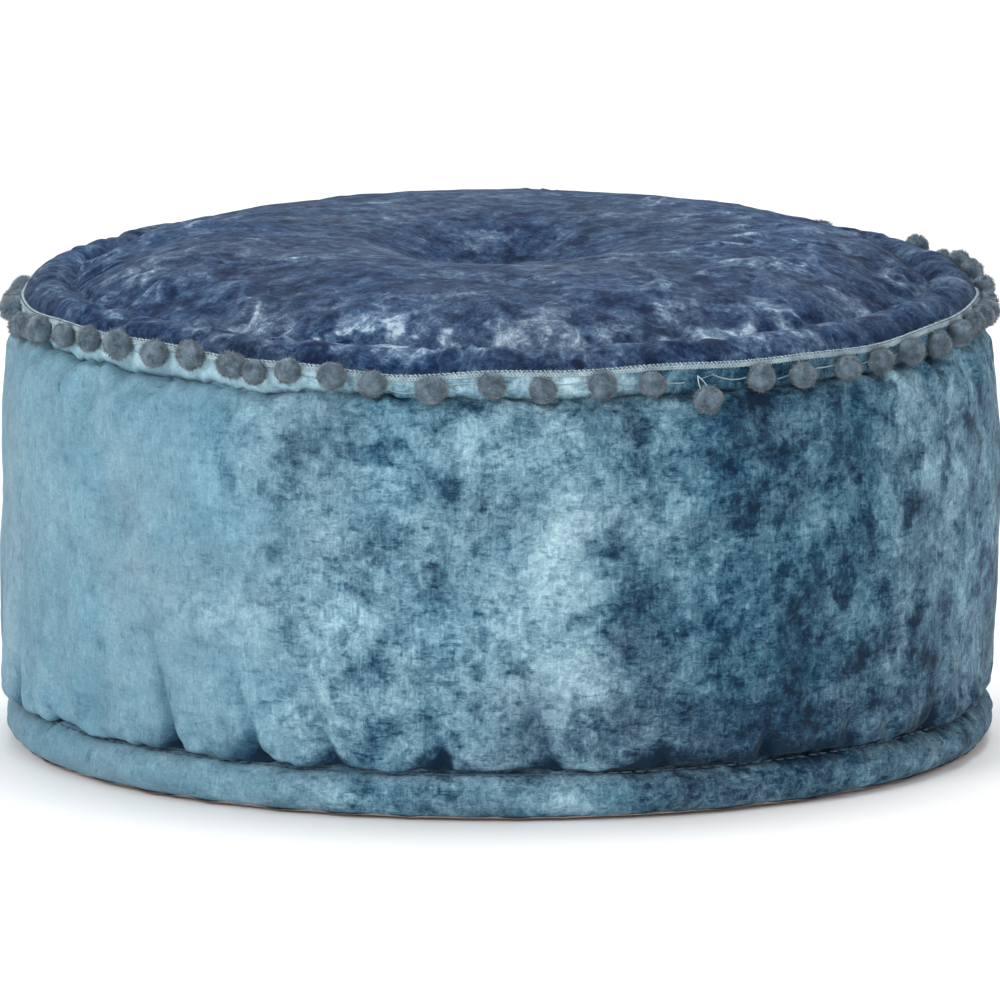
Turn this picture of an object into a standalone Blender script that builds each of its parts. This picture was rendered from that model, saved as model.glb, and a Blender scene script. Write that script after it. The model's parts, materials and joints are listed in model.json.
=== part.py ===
"""Round velvet floor cushion with rolled edges, a pompom fringe and a tufted centre.

Metres, +Z up. The origin is the middle of the flat underside, on the floor. Azimuth 0 is the
front of the cushion (-Y) and grows towards +X. Soft pieces are plain solids of the right size.
"""

import math

import bmesh
import bpy
from mathutils import Matrix, Vector

MM = 0.001

# Driving sizes of the stuffed cushion, outside of the cloth. Points are (radius, height).
WALL_RADIUS = 199.6 * MM
TOP_CREASE = (186 * MM, 167 * MM)
BASE_CREASE = (192 * MM, 19.4 * MM)
TOP_ROLL_CENTRE = (177.5 * MM, 177 * MM)
TOP_ROLL_RADIUS = 10.5 * MM
BASE_ROLL_RADIUS = 9 * MM
BASE_ROLL_CENTRE = (188.4 * MM, 9.6 * MM)
CROWN_RISE = 23.5 * MM  # seat crest above the crease inside the top roll
CROWN_POWER = 8  # higher is flatter in the middle and steeper at the edge
DIMPLE_DEPTH = 24 * MM
DIMPLE_RADIUS = 36 * MM
BASE_DIMPLE_DEPTH = 6 * MM
BASE_DIMPLE_RADIUS = 36 * MM

# Where cloths meet, in degrees round a roll, from its outermost line up.
SEAT_CREASE_ANGLE = 155
SEAM_ANGLE = 8  # seat velvet meets wall velvet
TOP_CREASE_ANGLE = -45  # wall velvet leaves the top roll
BASE_CREASE_ANGLE = 65  # and meets the base roll
UNDER_SEAM_ANGLE = -92  # wall velvet meets base canvas

# Cloth, thread and clearances.
VELVET = 1.4 * MM
CANVAS = 1.2 * MM
CALICO = 0.8 * MM
GAP = 0.35 * MM
THREAD_RADIUS = 0.4 * MM
TWINE_RADIUS = 0.9 * MM
TWINE_HOLE = 2.5 * MM

# Pompom fringe.
POMPOM_COUNT = 60
POMPOMS_PER_RUN = 5
POMPOM_RADIUS = 5.8 * MM
POMPOM_RING = (195.4 * MM, 174.5 * MM)
LEAD_CORD_RADIUS = 0.6 * MM
TAPE_THICKNESS = 1.0 * MM
TAPE_ARC = (24, -2)  # degrees round the top roll
LOOSE_INDEX = 4  # the pompom that hangs on a slack strand
LOOSE_PIVOT = (191.3 * MM, 175.4 * MM)
LOOSE_CENTRE = (201.5 * MM, 167.2 * MM)

TURN_STEPS = 36

# Covered buttons of the centre tuft.
SEAT_BUTTON_RADIUS = 10.5 * MM
SEAT_BUTTON_RISE = 4.4 * MM
BASE_BUTTON_RADIUS = 8 * MM
BASE_BUTTON_HEIGHTS = (2.0 * MM, 4.2 * MM)

# Surfaces: linear colour and roughness.
FINISHES = {
    "navy_velvet": ((0.028, 0.065, 0.135), 0.75),
    "teal_velvet": ((0.115, 0.260, 0.340), 0.75),
    "base_canvas": ((0.330, 0.270, 0.250), 0.95),
    "calico": ((0.640, 0.600, 0.520), 0.95),
    "fibre_fill": ((0.800, 0.790, 0.760), 1.00),
    "fringe_yarn": ((0.150, 0.170, 0.180), 1.00),
    "braid": ((0.270, 0.380, 0.430), 0.90),
    "blue_thread": ((0.050, 0.110, 0.150), 0.80),
}

MESH_SMOOTH_ANGLE = math.radians(35)


# ---------------------------------------------------------------- outlines (radius, height)


def on_circle(centre, radius, degrees):
    angle = math.radians(degrees)
    return (centre[0] + radius * math.cos(angle), centre[1] + radius * math.sin(angle))


def arc(centre, radius, first, last, count):
    """Points from one angle to another, both included."""
    return [
        on_circle(centre, radius, first + (last - first) * i / (count - 1))
        for i in range(count)
    ]


def offset(path, distance):
    """The path moved to its right by a distance, with mitred corners."""
    moved = []
    for i, point in enumerate(path):
        here = Vector(point)
        ways = []
        if i > 0:
            ways.append((here - Vector(path[i - 1])).normalized())
        if i < len(path) - 1:
            ways.append((Vector(path[i + 1]) - here).normalized())
        rights = [Vector((way.y, -way.x)) for way in ways]
        mitre = (rights[0] + rights[-1]).normalized()
        moved.append(tuple(here + mitre * (distance / mitre.dot(rights[0]))))
    return moved


def cloth(path, inset, thickness):
    """The closed outline of a cloth that lies inset to the right of a path."""
    outer = offset(path, inset) if inset else list(path)
    return outer + offset(path, inset + thickness)[::-1]


def seat_height(radius):
    """Height of the seat: a flat-topped crown with a tufted dimple in its middle."""
    crease_radius, crease_height = seat_crease()
    crown = CROWN_RISE * (1 - (radius / crease_radius) ** CROWN_POWER)
    dimple = DIMPLE_DEPTH * math.exp(-((radius / DIMPLE_RADIUS) ** 2))
    return crease_height + crown - dimple


def seat_crease():
    """Where the crown meets the inside of the top roll."""
    return on_circle(TOP_ROLL_CENTRE, TOP_ROLL_RADIUS, SEAT_CREASE_ANGLE)


def base_height(radius):
    """Height of the underside, which the tuft pulls up in the middle."""
    share = min(radius / BASE_DIMPLE_RADIUS, 1)
    return BASE_DIMPLE_DEPTH * (1 - share**2) ** 2


def crown_path():
    """Outer face of the seat from the twine hole to just inside the top roll."""
    crease_radius, _ = seat_crease()
    shares = (0.06, 0.12, 0.2, 0.32, 0.5, 0.68, 0.82, 0.92, 0.97)
    radii = [TWINE_HOLE] + [crease_radius * share for share in shares]
    return [(radius, seat_height(radius)) for radius in radii]


def seat_path():
    """Outer face of the seat velvet, from the twine hole over the roll to the seam."""
    roll = arc(TOP_ROLL_CENTRE, TOP_ROLL_RADIUS, SEAT_CREASE_ANGLE - 8, SEAM_ANGLE + 2, 7)
    return crown_path() + roll


def wall_path(count=11):
    """Outer face of the wall between its two creases: a tall superellipse."""
    middle = (TOP_CREASE[1] + BASE_CREASE[1]) / 2
    half = (TOP_CREASE[1] - BASE_CREASE[1]) / 2
    points = []
    for i in range(count):
        turn = math.pi * i / (count - 1)
        up = math.copysign(abs(math.cos(turn)) ** (2 / 3), math.cos(turn))
        out = math.sin(turn) ** 0.5 if 0 < i < count - 1 else 0
        crease_radius = TOP_CREASE[0] + (BASE_CREASE[0] - TOP_CREASE[0]) * (1 - up) / 2
        radius = crease_radius + (WALL_RADIUS - crease_radius) * out
        points.append((radius, middle + half * up))
    return points


def gusset_path():
    """Outer face of the wall velvet, from the seam on the top roll to the one underneath."""
    top = arc(TOP_ROLL_CENTRE, TOP_ROLL_RADIUS, SEAM_ANGLE - 2, TOP_CREASE_ANGLE, 4)
    base = arc(BASE_ROLL_CENTRE, BASE_ROLL_RADIUS, BASE_CREASE_ANGLE, UNDER_SEAM_ANGLE, 6)
    return top + wall_path() + base


def base_path():
    """Underside of the base canvas, from the under seam to the twine hole."""
    radii = [BASE_ROLL_CENTRE[0] - 2 * MM]
    radii += [BASE_DIMPLE_RADIUS * share for share in (1, 0.7, 0.45, 0.25)]
    radii.append(TWINE_HOLE)
    return [(radius, base_height(radius)) for radius in radii]


def fill_paths():
    """Outer face of the stuffing in three stretches that meet at the liner's seams."""
    inset = VELVET + GAP + CALICO + GAP
    room = VELVET + CALICO + GAP
    top = offset(crown_path(), inset)[:-1]
    top += arc(TOP_ROLL_CENTRE, TOP_ROLL_RADIUS + room, 188, 250, 4)
    seam = on_circle(TOP_ROLL_CENTRE, TOP_ROLL_RADIUS + room, 252)
    wall = [seam] + offset(wall_path(), inset)[1:-1]
    wall += arc(BASE_ROLL_CENTRE, BASE_ROLL_RADIUS + room, 112, 190, 4)
    lift = CANVAS + GAP + CALICO + GAP
    seam = on_circle(BASE_ROLL_CENTRE, BASE_ROLL_RADIUS + room, 193)
    corner = (seam[0] - 0.6 * MM, lift)
    base = [seam, corner] + [(radius, height + lift) for radius, height in base_path()[1:]]
    return top, wall, base


# ---------------------------------------------------------------- solids


def finish_of(name):
    made = bpy.data.materials.get(name)
    if made:
        return made
    colour, roughness = FINISHES[name]
    made = bpy.data.materials.new(name)
    made.use_nodes = True
    shader = made.node_tree.nodes["Principled BSDF"]
    shader.inputs["Base Color"].default_value = (*colour, 1)
    shader.inputs["Roughness"].default_value = roughness
    shader.inputs["Metallic"].default_value = 0
    made.diffuse_color = (*colour, 1)
    return made


def place(name, mesh, finish, parent, azimuth=0.0):
    """An object for a mesh, turned about the cushion's axis from the front."""
    made = bpy.data.objects.new(name, mesh)
    bpy.context.scene.collection.objects.link(made)
    if not mesh.materials:
        mesh.materials.append(finish_of(finish))
    made.parent = parent
    made.rotation_euler.z = math.radians(azimuth)
    return made


def mesh_of(name, shape):
    """A mesh from a bmesh, with its faces pointing out and its round faces smooth."""
    bmesh.ops.recalc_face_normals(shape, faces=shape.faces)
    mesh = bpy.data.meshes.new(name)
    shape.to_mesh(mesh)
    shape.free()
    mesh.shade_smooth()
    mesh.set_sharp_from_angle(angle=MESH_SMOOTH_ANGLE)
    return mesh


def join_rings(shape, first, second):
    """Faces between two rings of vertices, either of which may be a single vertex."""
    count = max(len(first), len(second))
    for i in range(count):
        follow = (i + 1) % count
        corners = [first[i % len(first)], first[follow % len(first)]]
        corners += [second[follow % len(second)], second[i % len(second)]]
        shape.faces.new(list(dict.fromkeys(corners)))


def turned_mesh(name, outline, steps=TURN_STEPS):
    """An outline turned round Z: a solid if it starts and ends on the axis, else a ring."""
    shape = bmesh.new()
    rings = []
    for radius, height in outline:
        count = steps if radius > 0 else 1
        ring = []
        for i in range(count):
            angle = 2 * math.pi * i / count
            ring.append(shape.verts.new((radius * math.sin(angle), -radius * math.cos(angle), height)))
        rings.append(ring)
    for first, second in zip(rings, rings[1:]):
        join_rings(shape, first, second)
    if outline[0][0] > 0:
        join_rings(shape, rings[-1], rings[0])
    return mesh_of(name, shape)


def turned(name, outline, finish, parent, steps=TURN_STEPS):
    return place(name, turned_mesh(name, outline, steps), finish, parent)


def thread_ring(name, centre, finish, parent):
    """A stitching thread that runs all the way round at one radius and height."""
    return turned(name, arc(centre, THREAD_RADIUS, 0, 300, 6), finish, parent)


def tube_mesh(name, stations, sides):
    """A closed tube through stations of (centre, across, up, radius)."""
    shape = bmesh.new()
    rings = []
    for centre, across, up, radius in stations:
        ring = []
        for i in range(sides):
            angle = 2 * math.pi * i / sides
            out = across * math.cos(angle) + up * math.sin(angle)
            ring.append(shape.verts.new(centre + out * radius))
        rings.append(ring)
    for first, second in zip(rings, rings[1:]):
        join_rings(shape, first, second)
    shape.faces.new(rings[0][::-1])
    shape.faces.new(rings[-1])
    return mesh_of(name, shape)


def at_azimuth(radius, height, degrees):
    angle = math.radians(degrees)
    return Vector((radius * math.sin(angle), -radius * math.cos(angle), height))


# ---------------------------------------------------------------- the cushion's pieces


def make_cover(parent):
    """Velvet seat and wall, and the canvas base."""
    turned("seat_panel", cloth(seat_path(), 0, VELVET), "navy_velvet", parent)
    turned("wall_gusset", cloth(gusset_path(), 0, VELVET), "teal_velvet", parent)
    turned("base_panel", cloth(base_path(), 0, CANVAS), "base_canvas", parent)


def make_liner_and_fill(parent):
    """A calico bag of three pieces round the loose stuffing."""
    paths = fill_paths()
    turned("stuffing", [point for path in paths for point in path], "fibre_fill", parent)
    for name, path in zip(("liner_top", "liner_wall", "liner_base"), paths):
        turned(name, cloth(path, -GAP - CALICO, CALICO), "calico", parent)


def make_edge_wadding(parent):
    """Ropes of wadding that fill the two rolled edges."""
    inset = VELVET + 3 * GAP  # clear of the flats of the velvet round it
    for name, centre, radius in (
        ("top_edge_wadding", TOP_ROLL_CENTRE, TOP_ROLL_RADIUS),
        ("base_edge_wadding", BASE_ROLL_CENTRE, BASE_ROLL_RADIUS),
    ):
        outline = arc(centre, radius - inset, 0, 324, 10)
        turned(name, outline, "fibre_fill", parent)


def make_stitching(parent):
    """Threads that lie in the creases, and the closing seam of the wall at the back."""
    crease_radius, crease_height = seat_crease()
    for name, centre in (
        ("seat_crease_stitching", (crease_radius + 0.2 * MM, crease_height + 3 * MM)),
        ("top_crease_stitching", (TOP_CREASE[0] + 0.6 * MM, TOP_CREASE[1] + 1.6 * MM)),
        ("base_crease_stitching", (BASE_CREASE[0] + 1.2 * MM, BASE_CREASE[1] - 0.8 * MM)),
    ):
        thread_ring(name, centre, "blue_thread", parent)
    seam = offset(wall_path()[1:-1], -(THREAD_RADIUS + GAP))
    stations = []
    for i, (radius, height) in enumerate(seam):
        before, after = seam[max(i - 1, 0)], seam[min(i + 1, len(seam) - 1)]
        along = Vector((after[0] - before[0], 0, after[1] - before[1])).normalized()
        up = Vector((along.z, 0, -along.x))
        stations.append((Vector((radius, 0, height)), Vector((0, 1, 0)), up, THREAD_RADIUS))
    seam_mesh = tube_mesh("wall_seam_stitching", stations, 6)
    place("wall_seam_stitching", seam_mesh, "blue_thread", parent, azimuth=90)


def make_tuft(parent):
    """Twine through the middle, held by a covered button on the seat and one underneath."""
    rest = seat_height(SEAT_BUTTON_RADIUS) + GAP
    button = [(0, rest), (SEAT_BUTTON_RADIUS, rest)]
    for share in (0.35, 0.7):
        angle = math.pi / 2 * share
        button.append(
            (
                SEAT_BUTTON_RADIUS * math.cos(angle),
                rest + SEAT_BUTTON_RISE * math.sin(angle),
            )
        )
    button.append((0, rest + SEAT_BUTTON_RISE))
    turned("seat_button", button, "navy_velvet", parent, steps=20)

    low, high = BASE_BUTTON_HEIGHTS
    disc = [
        (0, low),
        (BASE_BUTTON_RADIUS * 0.8, low),
        (BASE_BUTTON_RADIUS, (low + high) / 2),
        (BASE_BUTTON_RADIUS * 0.8, high),
        (0, high),
    ]
    turned("base_button", disc, "base_canvas", parent, steps=20)

    ends = (high + GAP, rest - GAP)
    twine = [(0, ends[0]), (TWINE_RADIUS, ends[0]), (TWINE_RADIUS, ends[1]), (0, ends[1])]
    turned("tufting_twine", twine, "braid", parent, steps=10)


def make_braid(parent):
    """The tape that the fringe hangs from, and the row of stitches that holds it."""
    face = TOP_ROLL_RADIUS + GAP
    outer = arc(TOP_ROLL_CENTRE, face + TAPE_THICKNESS, *TAPE_ARC, 3)
    inner = arc(TOP_ROLL_CENTRE, face, *TAPE_ARC, 3)
    turned("braid_tape", outer + inner[::-1], "braid", parent)
    stitch = on_circle(
        TOP_ROLL_CENTRE, face + TAPE_THICKNESS + GAP + THREAD_RADIUS, TAPE_ARC[0] - 5
    )
    thread_ring("braid_topstitch", stitch, "blue_thread", parent)


def pompom_run_mesh(name, count):
    """Pompoms in a row on their lead cord, starting at the front."""
    pitch = 360 / POMPOM_COUNT
    radius, height = POMPOM_RING
    swell = math.degrees(math.acos(LEAD_CORD_RADIUS / POMPOM_RADIUS))
    stations = []
    for index in range(count):
        for turn in (-swell, -0.68 * swell, -0.25 * swell, 0.25 * swell, 0.68 * swell, swell):
            side = math.radians(turn)
            away = math.degrees(POMPOM_RADIUS * math.sin(side) / radius)
            azimuth = index * pitch + away
            stations.append(
                (
                    at_azimuth(radius, height, azimuth),
                    at_azimuth(1, 0, azimuth),
                    Vector((0, 0, 1)),
                    POMPOM_RADIUS * math.cos(side),
                )
            )
    return tube_mesh(name, stations, 8)


def make_fringe(parent):
    """Twelve runs of pompoms; the one beside the loose pompom is a pompom short."""
    pitch = 360 / POMPOM_COUNT
    full = pompom_run_mesh("pompom_run", POMPOMS_PER_RUN)
    short = pompom_run_mesh("pompom_run_short", POMPOMS_PER_RUN - 1)
    for run in range(POMPOM_COUNT // POMPOMS_PER_RUN):
        first = run * POMPOMS_PER_RUN
        mesh = short if first <= LOOSE_INDEX < first + POMPOMS_PER_RUN else full
        name = f"pompom_run_{run + 1:02d}"
        place(name, mesh, "fringe_yarn", parent, azimuth=first * pitch)


def make_loose_pompom(parent):
    """The pompom on a slack strand. Its empty stands on the axis that it swings about."""
    azimuth = LOOSE_INDEX * 360 / POMPOM_COUNT
    pivot = bpy.data.objects.new("loose_pompom_pivot", None)
    bpy.context.scene.collection.objects.link(pivot)
    pivot.parent = parent
    pivot.location = at_azimuth(*LOOSE_PIVOT, azimuth)
    pivot.rotation_euler.z = math.radians(azimuth)

    out = LOOSE_CENTRE[0] - LOOSE_PIVOT[0]
    down = LOOSE_CENTRE[1] - LOOSE_PIVOT[1]
    centre = Vector((0, -out, down))
    ball = bmesh.new()
    bmesh.ops.create_icosphere(
        ball, subdivisions=2, radius=POMPOM_RADIUS, matrix=Matrix.Translation(centre)
    )
    place("loose_pompom", mesh_of("loose_pompom", ball), "fringe_yarn", pivot)

    along = centre.normalized()
    across = Vector((1, 0, 0))
    up = along.cross(across)
    reach = centre.length - POMPOM_RADIUS - GAP
    stations = [
        (along * distance, across, up, LEAD_CORD_RADIUS) for distance in (0.0, reach)
    ]
    strand = tube_mesh("loose_strand", stations, 8)
    place("loose_strand", strand, "fringe_yarn", pivot)


def main():
    for old in list(bpy.data.objects):
        bpy.data.objects.remove(old)
    cushion = bpy.data.objects.new("floor_cushion", None)
    bpy.context.scene.collection.objects.link(cushion)
    make_cover(cushion)
    make_liner_and_fill(cushion)
    make_edge_wadding(cushion)
    make_stitching(cushion)
    make_tuft(cushion)
    make_braid(cushion)
    make_fringe(cushion)
    make_loose_pompom(cushion)


main()
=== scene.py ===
"""Looks of the round velvet floor cushion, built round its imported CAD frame.

Metres, +Z up, in the frame's axes. Azimuth 0 is the front (-Y) and grows towards +X.
"""

import json
import math

import bmesh
import bpy
import numpy as np
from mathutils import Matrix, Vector

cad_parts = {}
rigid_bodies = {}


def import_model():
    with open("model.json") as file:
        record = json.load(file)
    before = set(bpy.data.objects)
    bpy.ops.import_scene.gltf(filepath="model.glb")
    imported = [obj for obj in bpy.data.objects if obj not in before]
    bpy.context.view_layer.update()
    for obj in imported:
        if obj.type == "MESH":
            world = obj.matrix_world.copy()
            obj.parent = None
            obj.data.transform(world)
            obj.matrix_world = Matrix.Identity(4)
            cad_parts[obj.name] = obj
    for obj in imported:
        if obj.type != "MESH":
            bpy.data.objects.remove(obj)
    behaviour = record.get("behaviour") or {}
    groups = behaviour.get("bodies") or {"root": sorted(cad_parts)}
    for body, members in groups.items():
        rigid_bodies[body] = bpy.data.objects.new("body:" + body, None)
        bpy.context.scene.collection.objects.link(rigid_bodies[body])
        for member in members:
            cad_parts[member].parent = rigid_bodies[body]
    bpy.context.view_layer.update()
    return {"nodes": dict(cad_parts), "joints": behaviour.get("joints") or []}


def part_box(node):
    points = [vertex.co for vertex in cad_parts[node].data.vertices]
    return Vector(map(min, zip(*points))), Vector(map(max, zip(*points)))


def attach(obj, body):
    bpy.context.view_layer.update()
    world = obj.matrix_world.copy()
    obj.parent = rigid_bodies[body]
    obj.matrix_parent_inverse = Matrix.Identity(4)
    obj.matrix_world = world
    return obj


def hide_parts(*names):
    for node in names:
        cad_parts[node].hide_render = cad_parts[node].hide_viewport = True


MM = 0.001

# How the photograph was taken: a long lens, a little above the seat.
CAMERA_ELEVATION = 9.8
CAMERA_DISTANCE = 12.0
CAMERA_AIM_HEIGHT = 95.5 * MM
VIEW_WIDTH = 0.400
SENSOR_WIDTH = 0.036

# Soft studio light: name, place, width of the lamp and power in watts.
LAMPS = (
    ("key", (-1.8, -2.4, 1.5), 1.4, 40),
    ("front_fill", (0.2, -3.0, 0.35), 1.0, 14),
    ("overhead", (0.2, 0.5, 2.4), 1.6, 34),
)
LAMP_AIM = Vector((0, 0, 0.1))
SKY_STRENGTH = 0.74
FLOOR_HALF_WIDTH = 30.0
FLOOR_DROP = 0.2 * MM

# Visible cloth surfaces. The rolled edges are plumper than their plain CAD rings.
# Angles are degrees round a roll's section, from its outermost line up.
TURN_STEPS = 900
VELVET = 2.4 * MM  # from the wadding's face to the outside of the velvet over it
ROLL_SWELL = 0.4 * MM  # the top roll is this much plumper, and its middle further out
ROLL_OUTWARD = 2.2 * MM
CROWN_POWER = 8
CROWN_SLACK = 2.2 * MM  # the crown's folds stand this much above its mean height
DIMPLE_RADIUS = 36 * MM
SEAM_ANGLE = 12  # seat velvet meets wall velvet
SEAT_CREASE_ANGLE = 152
TOP_CREASE_ANGLE = -52
BASE_CREASE_ANGLE = 112
UNDER_ANGLE = -112  # the wall velvet ends under the base roll
ROW_PITCH = 1.25 * MM
AXIS_GAP = 0.002 * MM  # radius of the pinhole at the middle of a turned surface

# Blender's cloth simulation, on every so many rows and columns of a surface.
CLOTH_FRAMES = 20
CLOTH_PRESSURE = 4
CLOTH_ROW_STEP = 3
CLOTH_COLUMN_STEP = 4
CLOTH_SPARE = 0.05  # share by which the cloth is cut too large, which makes its gathers
CLOTH_CAP = 3.5 * MM

FLOOR_GAP = 0.15 * MM

# Thread and trim.
STITCH_LENGTH = 1.2 * MM
STITCH_PITCH = 1.9 * MM
CREASE_STITCH_LENGTH = 4.2 * MM
CREASE_STITCH_PITCH = 5.6 * MM
CREASE_STITCH_DEPTH = 1.6 * MM
SEAT_STITCH_DEPTH = 3.0 * MM
WALL_STITCH_LENGTH = 3 * MM
WALL_STITCH_PITCH = 4 * MM
WALL_STITCH_RADIUS = 0.28 * MM
LEAD_RADIUS = 0.3 * MM
LOOSE_THREAD_RADIUS = 0.24 * MM
HAIR_WIDTH = 0.11 * MM
POMPOM_HAIRS = 1500
BRAID_CROSSINGS = 290
BRAID_STRAND_RADIUS = 0.42 * MM
BRAID_SWING = 6.0  # degrees round the roll, to each side
BRAID_HAIRS = 12000
BRAID_HAIR_WIDTH = 0.08 * MM


# ---------------------------------------------------------------- frame


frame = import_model()
JOINT = frame["joints"][0]
FIXED_BODY = JOINT["parent"]
SWINGING_BODY = JOINT["child"]


def outer_radius(node):
    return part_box(node)[1].x


def heights(node):
    low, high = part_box(node)
    return low.z, high.z


def roll_section(node):
    """Centre (radius, height) and radius of a rolled edge, from the wadding inside it."""
    low, high = heights(node)
    reach = outer_radius(node)
    radius = (high - low) / 2
    return (reach - radius, (low + high) / 2), radius


def read_rolls():
    """Centre and radius of the velvet over the top and the base wadding."""
    centre, radius = roll_section("top_edge_wadding")
    top = (centre[0] + ROLL_OUTWARD, centre[1]), radius + VELVET + ROLL_SWELL
    centre, radius = roll_section("base_edge_wadding")
    return top, (centre, radius + VELVET)


WALL_RADIUS = outer_radius("wall_gusset")
SEAT_TOP = heights("seat_panel")[1]
TOP_ROLL, BASE_ROLL = read_rolls()


# ---------------------------------------------------------------- noise and paths


def lattice(cells, seed):
    """A repeatable gradient, with parts from -1 to 1, for each whole-number cell (..., 3)."""
    x, y, z = (cells[..., i].astype(np.int64).astype(np.uint32) for i in range(3))
    mixed = x * np.uint32(0x8DA6B343) ^ y * np.uint32(0xD8163841) ^ z * np.uint32(0xCB1AB31F)
    mixed ^= np.uint32((seed * 0x9E3779B1) & 0xFFFFFFFF)
    for shift, factor in ((15, 0x2C1B3C6D), (12, 0x297A2D39)):
        mixed ^= mixed >> np.uint32(shift)
        mixed *= np.uint32(factor)
    mixed ^= mixed >> np.uint32(15)
    parts = [(mixed >> np.uint32(shift)) & np.uint32(1023) for shift in (0, 10, 20)]
    return np.stack(parts, -1) / 511.5 - 1.0


def smooth_noise(points, size, seed, octaves=1):
    """Smooth noise from about -1 to 1, with features of the given size in metres."""
    total = np.zeros(points.shape[:-1])
    weight, weights = 1.0, 0.0
    for octave in range(octaves):
        scaled = points / (size / 2**octave)
        low = np.floor(scaled)
        part = scaled - low
        ease = part * part * part * (part * (part * 6 - 15) + 10)
        for corner in range(8):
            bits = np.array([corner & 1, corner >> 1 & 1, corner >> 2 & 1])
            share = np.prod(np.where(bits, ease, 1 - ease), axis=-1)
            slope = lattice(low + bits, seed + 31 * octave)
            total += weight * share * np.sum(slope * (part - bits), axis=-1)
        weights += weight
        weight *= 0.55
    return 2.6 * total / weights


def smooth_step(value, low, high):
    share = np.clip((value - low) / (high - low), 0, 1)
    return share * share * (3 - 2 * share)


def bell(value, centre, width):
    return np.exp(-(((value - centre) / width) ** 2))


def on_circle(centre, radius, degrees):
    angle = np.radians(degrees)
    return np.stack(
        [centre[0] + radius * np.cos(angle), centre[1] + radius * np.sin(angle)], -1
    )


def arc(centre, radius, first, last, count=40):
    return on_circle(centre, radius, np.linspace(first, last, count))


def blunt_arc(centre, radius, first, last, bluntness):
    """An arc squared off towards the lower corner of its box."""
    degrees = np.linspace(first, last, 40)
    turn = np.radians(degrees)
    square = (np.abs(np.cos(turn)) ** bluntness + np.abs(np.sin(turn)) ** bluntness) ** (-1 / bluntness)
    reach = np.where(degrees < 0, square, 1.0) * radius
    return np.stack([centre[0] + reach * np.cos(turn), centre[1] + reach * np.sin(turn)], -1)


def evenly(path, pitch):
    """A path of (radius, height) points resampled at an even pitch along itself."""
    steps = np.linalg.norm(np.diff(path, axis=0), axis=1)
    along = np.concatenate([[0], np.cumsum(steps)])
    wanted = np.linspace(0, along[-1], int(round(along[-1] / pitch)) + 1)
    return np.stack([np.interp(wanted, along, path[:, i]) for i in (0, 1)], -1), wanted


def rounded(path, passes):
    """A path, or rows of values, eased from row to row with its ends kept."""
    for _ in range(passes):
        path[1:-1] = (path[:-2] + 2 * path[1:-1] + path[2:]) / 4
    return path


def wrapped_degrees(degrees):
    return (degrees + 180) % 360 - 180


# ---------------------------------------------------------------- turned cloth surfaces


class Turned:
    """A cloth surface turned round Z: rows down a path, columns round the cushion."""

    def __init__(self, path, pitch=ROW_PITCH, steps=TURN_STEPS, easing=2):
        rows, self.along = evenly(path, pitch)
        self.rows = rounded(rows, easing)
        self.azimuth = np.arange(steps) * 360.0 / steps
        self.azimuth = wrapped_degrees(self.azimuth - 180.0)
        way = np.gradient(self.rows, axis=0)
        way /= np.linalg.norm(way, axis=1)[:, None]
        self.out = np.stack([-way[:, 1], way[:, 0]], -1)
        self.push = np.zeros((len(rows), steps))
        self.lift = np.zeros((len(rows), steps))
        self.shift = np.zeros((len(rows), steps, 3))
        self.places = self.positions()

    def positions(self):
        radius = self.rows[:, :1] + self.out[:, :1] * self.push
        height = self.rows[:, 1:] + self.out[:, 1:] * self.push + self.lift
        ways = self.ways()
        parts = np.stack([radius, np.zeros_like(radius), height], -1) + self.shift
        return np.einsum("rcp,cpx->rcx", parts, ways)

    def settle(self):
        """Raises whatever has sunk below the floor back onto it."""
        self.lift += np.maximum(FLOOR_GAP - self.positions()[..., 2], 0)

    def ways(self):
        """Unit vectors outwards, along the rim and upwards at each column."""
        angle = np.radians(self.azimuth)
        zero, one = np.zeros_like(angle), np.ones_like(angle)
        out = np.stack([np.sin(angle), -np.cos(angle), zero], -1)
        along = np.stack([np.cos(angle), np.sin(angle), zero], -1)
        return np.stack([out, along, np.stack([zero, zero, one], -1)], 1)

    def distance_round(self, azimuth, lean=0.0, down=0.0):
        """Metres round the cushion from an azimuth, which may lean as the rows go down."""
        turn = wrapped_degrees(self.azimuth[None, :] - azimuth)
        return np.radians(turn) * self.rows[:, :1] - lean * down


def mesh_object(name, places, faces, material, body, replaced=()):
    mesh = bpy.data.meshes.new(name)
    mesh.from_pydata(places.reshape(-1, 3).tolist(), [], faces)
    mesh.materials.append(material)
    mesh.shade_smooth()
    made = bpy.data.objects.new(name, mesh)
    bpy.context.scene.collection.objects.link(made)
    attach(made, body)
    if replaced:
        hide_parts(*replaced)
    return made


def grid_faces(rows, columns, first=0):
    """Quads of a grid that closes on itself sideways."""
    row, column = np.meshgrid(np.arange(rows - 1), np.arange(columns), indexing="ij")
    follow = (column + 1) % columns
    corners = [
        row * columns + column,
        (row + 1) * columns + column,
        (row + 1) * columns + follow,
        row * columns + follow,
    ]
    return (np.stack(corners, -1).reshape(-1, 4) + first).tolist()


def cubic(values, where, closed):
    """Values along the first axis read smoothly between their places."""
    low = np.floor(where).astype(int)
    part = (where - low).reshape((-1,) + (1,) * (values.ndim - 1))
    weights = (
        -part / 2 + part**2 - part**3 / 2,
        1 - 2.5 * part**2 + 1.5 * part**3,
        part / 2 + 2 * part**2 - 1.5 * part**3,
        -(part**2) / 2 + part**3 / 2,
    )
    total = 0
    for step, weight in zip((-1, 0, 1, 2), weights):
        place = low + step
        place = place % len(values) if closed else np.clip(place, 0, len(values) - 1)
        total = total + weight * values[place]
    return total


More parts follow.
